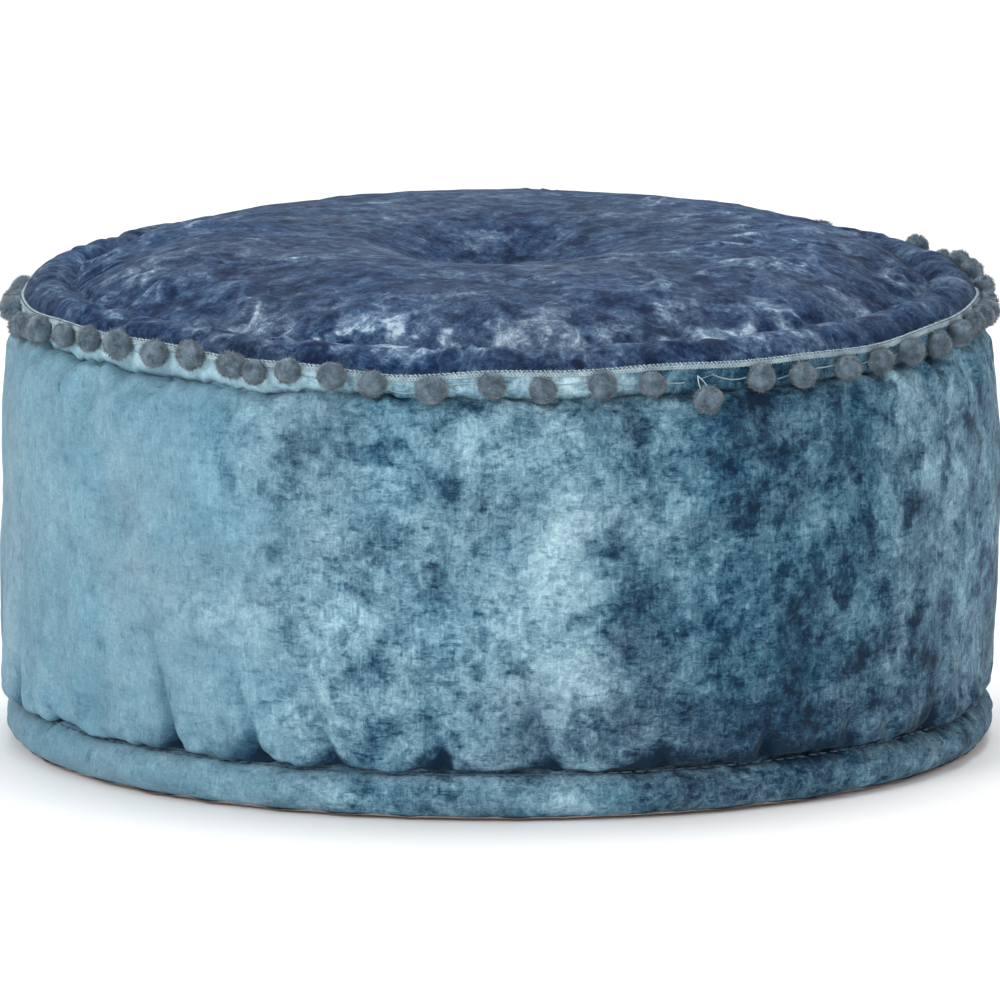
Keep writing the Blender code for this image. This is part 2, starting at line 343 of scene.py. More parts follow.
def run_cloth(start, held):
    """Where a grid of cloth comes to rest when it is blown out between its held rows."""
    rows, columns = start.shape[:2]
    mesh = bpy.data.meshes.new("cloth_run")
    mesh.from_pydata(start.reshape(-1, 3).tolist(), [], grid_faces(rows, columns))
    trial = bpy.data.objects.new("cloth_run", mesh)
    scene = bpy.context.scene
    scene.collection.objects.link(trial)
    group = trial.vertex_groups.new(name="held")
    held_points = np.flatnonzero(np.repeat(held, columns))
    group.add(held_points.tolist(), 1.0, "REPLACE")
    modifier = trial.modifiers.new("cloth", "CLOTH")
    settings = modifier.settings
    settings.quality = 4
    settings.mass = 0.25
    settings.tension_stiffness = 20
    settings.compression_stiffness = 20
    settings.shear_stiffness = 6
    settings.bending_stiffness = 0.3
    settings.use_pressure = True
    settings.uniform_pressure_force = CLOTH_PRESSURE
    settings.shrink_min = -CLOTH_SPARE
    settings.vertex_group_mass = "held"
    settings.effector_weights.gravity = 0
    modifier.collision_settings.use_collision = False
    modifier.point_cache.frame_end = CLOTH_FRAMES
    for number in range(1, CLOTH_FRAMES + 1):
        scene.frame_set(number)
    rested = trial.evaluated_get(bpy.context.evaluated_depsgraph_get())
    places = np.zeros(3 * rows * columns)
    rested.data.vertices.foreach_get("co", places)
    bpy.data.objects.remove(trial)
    bpy.data.meshes.remove(mesh)
    scene.frame_set(1)
    return places.reshape(start.shape)


def billow(cloth, held_lines, share, first_row=0):
    """Gathers from the cloth simulation, run on a coarser grid and read smoothly back.

    Each row keeps its mean place, so the outline stays and only the folds are added. The
    share, one number per row, says how much of them that row takes.
    """
    rows = np.arange(first_row, len(cloth.rows), CLOTH_ROW_STEP)
    columns = np.arange(0, TURN_STEPS, CLOTH_COLUMN_STEP)
    start = cloth.positions()[np.ix_(rows, columns)]
    near = [np.abs(line[rows]) < 0.51 * CLOTH_ROW_STEP * ROW_PITCH for line in held_lines]
    held = np.any(near, axis=0)
    held[[0, -1]] = True
    moved = run_cloth(start, held) - start
    far = np.maximum(np.linalg.norm(moved, axis=-1), 1e-9)
    moved *= np.minimum(1, CLOTH_CAP / far)[..., None]
    moved = np.einsum("rcx,cpx->rcp", moved, cloth.ways()[columns])
    moved -= moved.mean(axis=1)[:, None]
    fine_rows = (np.arange(len(cloth.rows)) - first_row) / CLOTH_ROW_STEP
    fine = cubic(moved, np.clip(fine_rows, 0, len(rows) - 1), False)
    turned = np.swapaxes(fine, 0, 1)
    turned = cubic(turned, np.arange(TURN_STEPS) / CLOTH_COLUMN_STEP, True)
    cloth.shift += np.swapaxes(turned, 0, 1) * share[:, None, None] * (1, 1, 0.3)


def turned_object(name, cloth, material, body, slot, replaced=(), **layers):
    """A cloth as a piece, with each layer of values kept per point and a UV map of its grain."""
    places = cloth.positions()
    rows, columns = places.shape[:2]
    made = mesh_object(
        name, places, grid_faces(rows, columns), material, body, replaced
    )
    mesh = made.data
    for key, values in layers.items():
        layer = mesh.attributes.new(key, "FLOAT", "POINT")
        layer.data.foreach_set("value", values.astype(np.float32).ravel())
    grain = mesh.uv_layers.new(name="grain")
    corners = np.zeros(len(mesh.loops), np.int64)
    mesh.loops.foreach_get("vertex_index", corners)
    row, column = np.divmod(corners, columns)
    round_share = column / columns
    last = np.zeros(len(mesh.loops), bool)
    last.reshape(-1, 4)[:] = (column.reshape(-1, 4).max(1) == columns - 1)[:, None]
    round_share = np.where(last & (column == 0), 1.0, round_share)
    places_uv = np.stack([round_share, cloth.along[row]], -1)
    grain.data.foreach_set("uv", places_uv.astype(np.float32).ravel())
    return made


# ---------------------------------------------------------------- shapes of the cloth


def crown_height(radius, crease):
    """The seat's height at a radius: a flat-topped crown with a tufted dimple."""
    button_low = heights("seat_button")[0]
    depth = SEAT_TOP - button_low + 1.0 * MM
    rise = SEAT_TOP - CROWN_SLACK - crease[1]
    crown = rise * (1 - (radius / crease[0]) ** CROWN_POWER)
    return crease[1] + crown - depth * np.exp(-((radius / DIMPLE_RADIUS) ** 2))


def sway(azimuth):
    """How far the top seam wanders up or down at an azimuth in degrees."""
    turn = np.radians(azimuth)
    slow = np.sin(5 * turn + 0.9) + 0.8 * np.sin(8 * turn + 4.0)
    wander = 0.55 * MM * (slow + 0.7 * np.sin(17 * turn + 2.1))
    azimuth = wrapped_degrees(azimuth)
    raised = 2.2 * MM * bell(azimuth, -44, 15)
    sagging = 2.3 * MM * bell(azimuth, -12, 9)
    return wander + raised - sagging


def fold_profile(across, gentle, steep):
    """A valley with one gentle and one steep side; the steep side is to the right."""
    width = np.where(across < 0, gentle, steep)
    return np.exp(-((across / width) ** 2))


def tucks(cloth, rng, distance, spacing, depth, reach, width, lean=0.0):
    """Gathers that start at a stitched line and fade with distance from it.

    Each is a narrow valley with a fuller lip beside it. The depth, the reach away from the
    line and the width are (low, high) ranges; lean is the most that one slants.
    """
    total = np.zeros_like(cloth.push)
    radius = cloth.rows[:, 0].max()
    degrees = math.degrees(spacing / radius)
    azimuth = -180.0
    inside = distance[:, None] >= 0
    down = np.maximum(distance, 0)[:, None]
    while azimuth < 180:
        deep = rng.uniform(*depth) * rng.choice([0.35, 0.7, 1.0, 1.3])
        far = rng.uniform(*reach)
        wide = rng.uniform(*width) * (1 + 0.5 * down / far)
        side = rng.choice([-1, 1])
        across = side * cloth.distance_round(azimuth, rng.uniform(-lean, lean), down)
        fade = np.exp(-((down / far) ** 1.2))
        valley = -deep * fold_profile(across, 1.5 * wide, 0.6 * wide)
        lip = 0.5 * deep * np.exp(-(((across - 1.7 * wide) / (1.2 * wide)) ** 2))
        total += np.where(inside, fade * (valley + lip), 0)
        azimuth += degrees * rng.uniform(0.45, 1.6)
    return total


# The deep gathers above the base seam that the camera sees, by azimuth in degrees.
FRONT_GATHERS = (-41, -28.5, -19, -6, 7, 20, 33.5, 62)
GATHER_SPACING = 14.0


def base_gathers(cloth, above_base, rng):
    """Deep pockets over the base seam, each with a long leaning crease above it.

    Returns how far they move the cloth outwards, and their painted shade: a dark wedge beside each
    pocket and a dark line along each crease.
    """
    azimuths = list(FRONT_GATHERS)
    azimuth = FRONT_GATHERS[-1] + 2 * GATHER_SPACING
    while azimuth < FRONT_GATHERS[0] + 360 - 2 * GATHER_SPACING:
        azimuths.append(azimuth)
        azimuth += GATHER_SPACING * rng.uniform(0.7, 1.4)
    up = np.maximum(above_base, 0)[:, None]
    on_wall = (above_base >= 0)[:, None]
    push = np.zeros_like(cloth.push)
    shade = np.zeros_like(cloth.push)
    for azimuth in azimuths:
        lean = rng.uniform(-0.45, -0.12) if azimuth < 10 else rng.uniform(-0.2, 0.2)
        across = cloth.distance_round(azimuth, lean, up)
        tall = rng.uniform(8, 14) * MM
        narrow = np.clip(1 - up / (2.2 * tall), 0.25, 1)
        pocket = fold_profile(across, 8 * MM * narrow, 3 * MM * narrow)
        pocket = pocket * np.exp(-((up / tall) ** 2))
        crease = fold_profile(across, 5 * MM, 2.2 * MM)
        crease = crease * np.exp(-((up / rng.uniform(28 * MM, 50 * MM)) ** 2))
        lip = bell(across, 7.5 * MM, 6 * MM) * np.exp(-((up / (24 * MM)) ** 2))
        deep = rng.uniform(0.65, 1.15)
        push += deep * (-5.0 * MM * pocket - 1.6 * MM * crease + 0.8 * MM * lip)
        # Painted shadow: a dark wedge beside each pocket, and a painted dark line along each crease.
        dark = fold_profile(across, 17 * MM * narrow, 3.0 * MM * narrow)
        dark = dark * np.exp(-((up / (0.8 * tall)) ** 2))
        shade += deep * (1.1 * dark + 0.32 * crease)
    return push * smooth_step(up, 0, 6 * MM), np.minimum(shade, 1.2) * on_wall


def wall_profile():
    """The wall velvet's path from the top seam down and under, and its two stitched creases."""
    top_stitches = heights("top_crease_stitching")
    base_stitches = heights("base_crease_stitching")
    top_crease = (outer_radius("top_crease_stitching") - 1.8 * MM, top_stitches[0] - 0.6 * MM)
    base_crease = (outer_radius("base_crease_stitching") - 3.4 * MM, base_stitches[1] + 0.9 * MM)
    turn = np.linspace(0, math.pi, 400)[1:-1]
    up = np.sign(np.cos(turn)) * np.abs(np.cos(turn)) ** (2 / 3)
    out = np.sin(turn) ** 0.5
    crease_radius = top_crease[0] + (base_crease[0] - top_crease[0]) * (1 - up) / 2
    middle = (top_crease[1] + base_crease[1]) / 2
    half = (top_crease[1] - base_crease[1]) / 2
    radius = crease_radius + (WALL_RADIUS - crease_radius) * out
    wall = np.stack([radius, middle + half * up], -1)
    stretches = [
        blunt_arc(*TOP_ROLL, SEAM_ANGLE, TOP_CREASE_ANGLE, 4),
        [top_crease],
        wall,
        [base_crease],
        arc(*BASE_ROLL, BASE_CREASE_ANGLE, UNDER_ANGLE, 60),
    ]
    return np.concatenate(stretches), top_crease, base_crease


def row_at(cloth, place):
    """The row of a cloth that passes nearest to a (radius, height) place."""
    return int(np.argmin(np.linalg.norm(cloth.rows - np.array(place), axis=1)))


def wall_cloth():
    """The teal velvet: front of the top roll, wall, base roll."""
    path, top_crease, base_crease = wall_profile()
    cloth = Turned(path)
    below_top = cloth.along - cloth.along[row_at(cloth, top_crease)]
    above_base = cloth.along[row_at(cloth, base_crease)] - cloth.along
    on_wall = smooth_step(below_top, 0, 8 * MM) * smooth_step(above_base, 0, 8 * MM)
    on_wall = on_wall[:, None]
    on_top_roll = (below_top < 0)[:, None]
    on_base_roll = (above_base < 0)[:, None]

    rng = np.random.default_rng(11)
    level = cloth.places * np.array([1, 1, 0])
    near_top = np.exp(-((below_top / (13 * MM)) ** 2))[:, None]
    near_base = np.exp(-((above_base / (11 * MM)) ** 2))[:, None]
    near_seam = smooth_step(-below_top, 2 * MM, 14 * MM)[:, None]
    cloth.lift += 1.7 * MM * smooth_noise(level, 42 * MM, 8, 2) * near_top * (1 - near_seam)
    cloth.lift += 1.3 * MM * smooth_noise(level, 34 * MM, 9, 2) * near_base
    cloth.lift += near_seam * sway(cloth.azimuth)[None, :]
    cloth.lift *= smooth_step(cloth.rows[:, 1], 2 * MM, 12 * MM)[:, None]
    off_floor = smooth_step(cloth.rows[:, 1], 1 * MM, 5 * MM)
    share = (0.35 + 0.65 * on_wall[:, 0]) * off_floor
    billow(cloth, [below_top, above_base], share)

    places = cloth.places
    upright = places * np.array([1, 1, 0.45])
    push = 1.3 * MM * smooth_noise(places, 75 * MM, 3) * on_wall
    push += 0.8 * MM * smooth_noise(upright, 24 * MM, 4, 2) * on_wall
    push += 0.15 * MM * smooth_noise(places, 6 * MM, 5, 2)
    gathers, shade = base_gathers(cloth, above_base, rng)
    cloth.shift[..., 0] += gathers
    push += 1.2 * MM * near_base * on_wall
    push += tucks(
        cloth, rng, above_base, 16 * MM, (0.4 * MM, 1.5 * MM), (8 * MM, 30 * MM),
        (1.6 * MM, 3.2 * MM), lean=0.5,
    )
    push += tucks(
        cloth, rng, below_top, 13 * MM, (0.5 * MM, 1.8 * MM), (5 * MM, 22 * MM),
        (1.6 * MM, 3.6 * MM), lean=0.4,
    )
    roll_tucks = tucks(
        cloth, rng, -above_base, 14 * MM, (0.7 * MM, 2.2 * MM), (7 * MM, 16 * MM),
        (1.4 * MM, 2.6 * MM), lean=0.35,
    )
    roll_tucks = roll_tucks * on_base_roll
    # Painted shade in the valleys of the base roll's tucks.
    shade = shade + 0.45 * smooth_step(-roll_tucks, 0.4 * MM, 1.6 * MM)
    push += roll_tucks
    push += 0.6 * MM * smooth_noise(places, 30 * MM, 6, 2) * on_base_roll
    seam_tucks = tucks(
        cloth, rng, -below_top, 12 * MM, (0.4 * MM, 1.3 * MM), (6 * MM, 14 * MM),
        (0.9 * MM, 2.2 * MM), lean=0.3,
    )
    push += (seam_tucks + 0.7 * MM * smooth_noise(places, 22 * MM, 7, 2)) * on_top_roll
    cloth.push += rounded(push, 2) * off_floor[:, None]
    cloth.settle()
    return cloth, below_top, above_base, shade


# Stretches of the wall where the pile lies lighter (+) or darker (-), except the last three, which make
# the wall darker towards its bottom:
# azimuth, half-width in degrees, tone, lowest and highest height as shares of the wall.
WALL_TONE_STREAKS = (
    (7, 5, 0.09, 0.25, 1.2),
    (-22, 9, -0.04, 0.35, 1.2),
    (33, 6, -0.12, -0.2, 1.2),
    (20, 6, -0.05, -0.2, 1.2),
    (43, 4, -0.07, 0.2, 0.9),
    (56, 3.0, 0.13, 0.45, 1.0),
    (69, 2.5, 0.13, 0.15, 1.0),
    (76, 3.0, 0.10, 0.2, 0.6),
    (48, 17, -0.11, -0.2, 0.30),
    (0, 18, -0.05, -0.2, 0.26),
    (30, 12, -0.10, -0.2, 0.24),
)


def wall_pile(cloth, above_base):
    """Tone of the crushed pile with painted shade above the base seam, from 0 (dark) to 1 (pale), and
    how mottled it is.
    """
    azimuth = np.broadcast_to(cloth.azimuth[None, :], cloth.push.shape)
    share = np.broadcast_to(cloth.rows[:, 1:] / SEAT_TOP, cloth.push.shape)
    places = cloth.places
    on_wall = 0.25 + 0.75 * smooth_step(above_base, -1 * MM, 4 * MM)[:, None]
    turned = azimuth + 8 * smooth_noise(places, 36 * MM, 21, 3)
    share = share + 0.12 * smooth_noise(places, 30 * MM, 24, 3)
    pale_side = 1 - smooth_step(turned, 7, 22) * (1 - smooth_step(turned, 120, 175))
    quiet = smooth_step(turned, -135, -100) * (1 - smooth_step(turned, -45, -12))
    busy = 1 - quiet
    tone = 0.44 + 0.145 * pale_side + 0.035 * quiet
    for centre, width, amount, low, high in WALL_TONE_STREAKS:
        above = smooth_step(share, low - 0.10, low + 0.10)
        below = 1 - smooth_step(share, high - 0.12, high + 0.12)
        tone += amount * bell(turned, centre, width) * above * below * on_wall
    on_right = smooth_step(turned, 28, 48) * (1 - smooth_step(turned, 110, 150))
    streaks = smooth_noise(places * np.array([1, 1, 0.18]), 12 * MM, 25, 3)
    tone += 0.08 * streaks * on_right * on_wall
    # Painted shade on the right, in a band just above the base seam under the overhanging wall.
    above = above_base[:, None] + 4 * MM * smooth_noise(places, 14 * MM, 26, 3)
    under_wall = bell(above, 0, 10 * MM) * smooth_step(above, -3 * MM, 1 * MM)
    in_shade = smooth_step(azimuth, 12, 22) * (1 - smooth_step(azimuth, 62, 85))
    tone -= 0.24 * under_wall * in_shade
    crush = 0.27 + 0.75 * busy
    return tone, crush


def make_wall(material):
    cloth, below_top, above_base, shade = wall_cloth()
    pile, crush = wall_pile(cloth, above_base)
    # Painted shade from the base gathers and the base roll's tucks darkens the tone.
    pile = pile - 0.68 * shade
    # Painted light from the relief: raised folds a little paler as a painted highlight, valleys darker
    # as painted shade.
    pile += 0.05 * smooth_step(cloth.push, 0.3 * MM, 2.0 * MM)
    pile -= 0.10 * smooth_step(-cloth.push, 0.4 * MM, 2.5 * MM)
    # Painted light on the top roll's strip just under the seam, paler on the left, turning to painted
    # shade on the right.
    under_seam = smooth_step(-below_top, 2 * MM, 9 * MM)[:, None]
    on_right = smooth_step(cloth.azimuth, 12, 24)[None, :]
    pile += under_seam * (0.26 - 0.32 * on_right)
    pile -= 0.02 * smooth_step(-above_base, 0, 4 * MM)[:, None]
    return turned_object(
        "velvet_wall", cloth, material, FIXED_BODY, "teal_velvet", ["wall_gusset"],
        pile=pile, crush=crush,
    ), cloth


# Long creases across the seat, raised and given a painted highlight: points (right, back) in
# millimetres.
SEAT_FOLDS = (
    ((44, -128), (61, -118), (82, -80), (115, -49), (140, -42)),
    ((108, -66), (123, -73), (140, -88)),
    ((58, 30), (80, 47), (112, 63), (136, 66)),
    ((-4, -66), (30, -52), (70, -40), (96, -16)),
    ((-150, -20), (-128, -44), (-96, -58), (-60, -54)),
    ((-128, 30), (-104, 54), (-66, 70), (-30, 66)),
)


def seat_folds(places):
    """From 0 to 1: narrow ridges along the seat's long creases."""
    plan = places[..., :2] + 2.5 * MM * np.stack(
        [smooth_noise(places, 22 * MM, seed, 2) for seed in (47, 48)], -1
    )
    total = np.zeros(plan.shape[:-1])
    for fold in SEAT_FOLDS:
        points = np.array(fold) * MM
        nearest = np.full(total.shape, 1.0)
        share = np.zeros(total.shape)
        for index in range(len(points) - 1):
            way = points[index + 1] - points[index]
            part = np.clip(np.sum((plan - points[index]) * way, -1) / np.sum(way * way), 0, 1)
            far = np.linalg.norm(plan - points[index] - part[..., None] * way, axis=-1)
            closer = far < nearest
            nearest = np.where(closer, far, nearest)
            share = np.where(closer, (index + part) / (len(points) - 1), share)
        total = np.maximum(total, bell(nearest, 0, 2.2 * MM) * np.sin(np.pi * share) ** 0.6)
    return total


def seat_cloth():
    """The navy velvet: crown with its dimple, crease, and back half of the top roll."""
    centre, radius = TOP_ROLL
    crease = on_circle(centre, radius, SEAT_CREASE_ANGLE)
    reach = np.linspace(AXIS_GAP, crease[0], 300)
    crown = np.stack([reach, crown_height(reach, crease)], -1)
    roll = arc(centre, radius, SEAT_CREASE_ANGLE, SEAM_ANGLE, 60)[1:]
    cloth = Turned(np.concatenate([crown, roll]))
    inside = cloth.along[row_at(cloth, crease)] - cloth.along
    on_crown = smooth_step(inside, 0, 7 * MM)[:, None]
    on_roll = smooth_step(-inside, 0, 5 * MM)[:, None]
    rng = np.random.default_rng(5)
    places = cloth.places

    radial = cloth.rows[:, :1]
    from_seam = (cloth.along[-1] - cloth.along)[:, None]
    near_seam = 1 - smooth_step(from_seam, 6 * MM, 24 * MM)
    cloth.lift += near_seam * sway(cloth.azimuth)[None, :]
    first_row = int(np.argmax(cloth.rows[:, 0] > 24 * MM))
    share = 0.5 + 0.5 * on_crown[:, 0] - 0.3 * bell(inside, 0, 7 * MM)
    billow(cloth, [inside], share, first_row)

    angle = np.radians(cloth.azimuth)[None, :]
    warp = 0.30 * smooth_noise(places, 60 * MM, 41, 2)
    reach = np.broadcast_to(radial, warp.shape)
    around = np.stack([0.11 * np.sin(angle + warp), 0.11 * np.cos(angle + warp), 0.4 * reach], -1)
    folds = smooth_step(1 - np.abs(smooth_noise(around, 22 * MM, 42, 2)), 0.86, 1.0)
    strength = smooth_step(smooth_noise(places, 45 * MM, 43, 2), -0.05, 0.45)
    fade = smooth_step(radial, 62 * MM, 105 * MM)
    crest = folds * strength * fade
    pleats = np.abs(np.sin(angle * 9 + 1.2 * warp)) * bell(radial, 17 * MM, 10 * MM)
    front = smooth_step(np.cos(angle), 0.1, 0.8)
    calm = 0.35 + 0.65 * smooth_step(np.cos(angle), -0.85, -0.15)
    ridges = seat_folds(places) * on_crown
    push = 1.6 * MM * crest * on_crown - 1.3 * MM * pleats + 1.5 * MM * ridges
    push += 2.2 * MM * smooth_noise(places, 62 * MM, 44, 2) * on_crown * fade
    push += 0.65 * MM * smooth_noise(places, 17 * MM, 45, 2) * smooth_step(radial, 20 * MM, 60 * MM)
    push += 0.20 * MM * smooth_noise(places, 6 * MM, 46, 2)
    push += 2.0 * MM * bell(inside, -0.5 * MM, 5 * MM)[:, None] * front
    push += tucks(
        cloth, rng, inside, 13 * MM, (0.6 * MM, 2.4 * MM), (6 * MM, 26 * MM),
        (1.6 * MM, 3.8 * MM), lean=0.8,
    )
    push += on_roll * tucks(
        cloth, rng, -inside, 11 * MM, (0.6 * MM, 2.4 * MM), (12 * MM, 26 * MM),
        (1.2 * MM, 3.0 * MM), lean=0.8,
    )
    push *= smooth_step(from_seam, 0, 5 * MM) * calm
    deepest = 3 * MM - 2.4 * MM * bell(inside, 0, 8 * MM)[:, None]
    cloth.push += rounded(np.maximum(push, -deepest), 4)
    return cloth, inside, np.maximum(crest, 0.8 * ridges)


def make_seat(material, wall):
    cloth, inside, crest = seat_cloth()
    places = cloth.places
    azimuth = cloth.azimuth[None, :]
    tone = 0.325 + 0.05 * smooth_noise(places, 40 * MM, 51, 3)
    # Painted highlight along the crests and long folds, and painted shade as a dark line in the crease.
    tone = tone + 0.26 * crest - 0.16 * bell(inside, 0, 2 * MM)[:, None]
    # Painted sheen: pale mottled patches near the front rim, where the crown's front slope faces the
    # light.
    front = bell(azimuth, -18, 20) + 0.6 * bell(azimuth, 32, 24)
    rim = bell(inside, 3 * MM, 22 * MM)[:, None]
    patches = smooth_step(smooth_noise(places, 17 * MM, 52, 4), -0.15, 0.30)
    tone += 0.64 * front * rim * patches
    # Painted shade on the roll's front face, below the crease.
    face = smooth_step(-inside, 12 * MM, 20 * MM)[:, None]
    tone -= 0.10 * face
    # Painted shade in dips and a painted highlight on raised folds; the darkest tone is held at 0.14.
    tone -= 0.16 * smooth_step(-cloth.push, 0.2 * MM, 2.2 * MM)
    tone += 0.10 * smooth_step(cloth.push, 0.5 * MM, 2.2 * MM)
    tone = np.maximum(tone, 0.14)
    edge = wall.positions()[0]
    crush = np.full(cloth.push.shape, 1.2)
    made = turned_object(
        "velvet_seat", cloth, material, FIXED_BODY, "navy_velvet", ["seat_panel"],
        pile=tone, crush=crush,
    )
    first = (len(cloth.rows) - 1) * TURN_STEPS
    for column, place in enumerate(edge):
        made.data.vertices[first + column].co = place
    return made, cloth


def make_base(material):
    """The canvas underside. Its edge laps a little way up the base roll."""
    centre, radius = BASE_ROLL
    recess = heights("base_panel")[1] - 1.2 * MM
    width = 36 * MM
    reach = np.linspace(AXIS_GAP, width, 60)
    dip = np.stack([reach, recess * (1 - (reach / width) ** 2) ** 2], -1)
    lap = arc(centre, radius + 0.3 * MM, -92, -60, 20)
    lap[:, 1] = np.maximum(lap[:, 1], 0.05 * MM)
    cloth = Turned(np.concatenate([dip, lap]), easing=1)
    cloth.out *= -1
    lap_share = smooth_step(cloth.rows[:, 0], centre[0], centre[0] + radius * 0.6)[:, None]
    level = cloth.places * np.array([1, 1, 0])
    cloth.lift += lap_share * 0.7 * MM * smooth_noise(level, 16 * MM, 61, 2)
    cloth.push += 0.25 * MM * lap_share * smooth_noise(level, 7 * MM, 62, 2)
    cloth.lift = np.maximum(cloth.lift, -cloth.rows[:, 1:] + 0.02 * MM) * (cloth.rows[:, 1:] > 0)
    return turned_object(
        "canvas_base", cloth, material, FIXED_BODY, "base_canvas", ["base_panel"]
    ), cloth


# ---------------------------------------------------------------- threads and trim


def frame_at(azimuth, centre, degrees, radius):
    """A point on a roll's section, and its along, out and up directions in space."""
    spot = on_circle(centre, radius, degrees)
    angle = math.radians(azimuth)
    outward = np.array([math.sin(angle), -math.cos(angle), 0.0])
    along = np.array([math.cos(angle), math.sin(angle), 0.0])
    tilt = math.radians(degrees)
    out = outward * math.cos(tilt) + np.array([0, 0, math.sin(tilt)])
    up = np.cross(along, out)
    return outward * spot[0] + np.array([0, 0, spot[1]]), along, out, up


def on_top_roll(azimuth, degrees, clearance=0.0):
    """A point on the top roll's skin as the seam sways, and its directions."""
    centre, radius = TOP_ROLL
    spot, along, out, up = frame_at(azimuth, centre, degrees, radius + clearance)
    return spot + np.array([0, 0, sway(azimuth)]), along, out, up


def tube(points, radius, sides=6):
    """Vertices and faces of a capped tube along points; radius may be one per point."""
    points = np.asarray(points, float)
    radii = np.broadcast_to(radius, len(points))
    way = np.gradient(points, axis=0)
    way /= np.linalg.norm(way, axis=1)[:, None]
    guide = np.array([0.31, 0.17, 0.93])
    across = np.cross(way, guide)
    across /= np.linalg.norm(across, axis=1)[:, None]
    other = np.cross(way, across)
    turn = 2 * np.pi * np.arange(sides) / sides
    ring = (
        across[:, None, :] * np.cos(turn)[None, :, None]
        + other[:, None, :] * np.sin(turn)[None, :, None]
    )
    places = points[:, None, :] + ring * radii[:, None, None]
    faces = grid_faces(len(points), sides)
    faces.append(list(range(sides))[::-1])
    faces.append([(len(points) - 1) * sides + i for i in range(sides)])
    return places.reshape(-1, 3), faces


class Pieces:
    """Many small shapes gathered into one mesh."""

    def __init__(self):
        self.places = []
        self.faces = []
        self.count = 0

    def add(self, places, faces):
        self.places.append(places)
        self.faces.extend([[i + self.count for i in face] for face in faces])
        self.count += len(places)

    def object(self, name, material, body, slot, replaced=()):
        places = np.concatenate(self.places)
        return mesh_object(name, places, self.faces, material, body, replaced)


def stitches_round(centre_line, length, pitch, radius, rng):
    """Short bowed stitches along a closed line given as a function of azimuth."""
    pieces = Pieces()
    reach = np.linalg.norm(centre_line(0)[0][:2])
    count = int(2 * math.pi * reach / pitch)
    for index in range(count):
        azimuth = 360.0 * (index + rng.uniform(-0.08, 0.08)) / count
        middle, along, out, up = centre_line(azimuth)
        skew = up * rng.uniform(-0.12, 0.12)
        span = np.linspace(-0.5, 0.5, 5)
        bow = 0.32 * MM * (1 - (2 * span) ** 2)
        points = middle + np.outer(span * length, along + skew) + np.outer(bow, out)
        pieces.add(*tube(points, radius * (1 - 0.5 * np.abs(2 * span) ** 3), 6))
    return pieces


def make_crease_stitching(name, node, material, rng):
    low, high = heights(node)
    in_seat = node.startswith("seat")
    reach = outer_radius(node) - (high - low) / 2 - (0 if in_seat else CREASE_STITCH_DEPTH)
    middle = (low + high) / 2 - (SEAT_STITCH_DEPTH if in_seat else 0)

    def line(azimuth):
        return frame_at(azimuth, (reach, middle), 0, 0)

    pieces = stitches_round(line, CREASE_STITCH_LENGTH, CREASE_STITCH_PITCH, (high - low) / 2, rng)
    return pieces.object(name, material, FIXED_BODY, "blue_thread", [node])


def make_wall_seam(material, wall):
    """Hand stitches that close the wall velvet at the back."""
    rng = np.random.default_rng(8)
    pieces = Pieces()
    places = wall.positions()
    column = int(np.argmax(np.abs(wall.azimuth)))
    low, high = heights("wall_seam_stitching")
    line = places[:, column]
    line = line[(line[:, 2] > low) & (line[:, 2] < high)]
    steps = np.linalg.norm(np.diff(line, axis=0), axis=1)
    along = np.concatenate([[0], np.cumsum(steps)])
    out = np.array([0, 1.0, 0])
    for start in np.arange(0, along[-1] - WALL_STITCH_LENGTH, WALL_STITCH_PITCH):
        spans = start + np.linspace(0, WALL_STITCH_LENGTH, 5)
        points = np.stack([np.interp(spans, along, line[:, i]) for i in range(3)], -1)
        bow = 0.3 * MM * (1 - np.linspace(-1, 1, 5) ** 2)
        points += np.outer(bow + 0.1 * MM, out)
        points[:, 0] += rng.uniform(-0.25, 0.25) * MM
        pieces.add(*tube(points, WALL_STITCH_RADIUS, 6))
    return pieces.object(
        "wall_closing_stitches", material, FIXED_BODY, "blue_thread", ["wall_seam_stitching"]
    )


def make_braid(material, rng):
    """A narrow plaited tape over the seam: three strands that cross, with a soft nap."""
    pieces = Pieces()
    steps = 1500
    plait = 2 * math.pi * BRAID_CROSSINGS
    middle = SEAM_ANGLE - 2.5
    for strand in range(3):
        points = []
        for index in range(steps + 1):
            share = index / steps
            phase = plait * share + 2 * math.pi * strand / 3
            degrees = middle + BRAID_SWING * math.sin(phase)
            clear = 0.45 * MM + 0.22 * MM * math.sin(2 * phase)
            points.append(on_top_roll(360 * share - 180, degrees, clear)[0])
        pieces.add(*tube(np.array(points), BRAID_STRAND_RADIUS, 5))
    roots = []
    ways = []
    for azimuth in rng.uniform(-180, 180, BRAID_HAIRS):
        spot, along, out, up = on_top_roll(azimuth, middle + rng.uniform(-8, 8), 0.4 * MM)
        roots.append(spot)
        ways.append(out + rng.uniform(-1, 1) * along + rng.uniform(-1, 1) * up)
    ways = np.array(ways) / np.linalg.norm(ways, axis=1)[:, None]
    lengths = rng.uniform(0.6, 1.7, BRAID_HAIRS) * MM
    pieces.add(*hairs(np.array(roots), ways, lengths, BRAID_HAIR_WIDTH))
    return pieces.object("braid_plait", material, FIXED_BODY, "braid", ["braid_tape"])


def make_topstitch(material, rng):
    def line(azimuth):
        return on_top_roll(azimuth, SEAM_ANGLE + 2.0, 1.05 * MM)

    pieces = stitches_round(line, STITCH_LENGTH, STITCH_PITCH, 0.2 * MM, rng)
    return pieces.object(
        "braid_stitches", material, FIXED_BODY, "blue_thread", ["braid_topstitch"]
    )


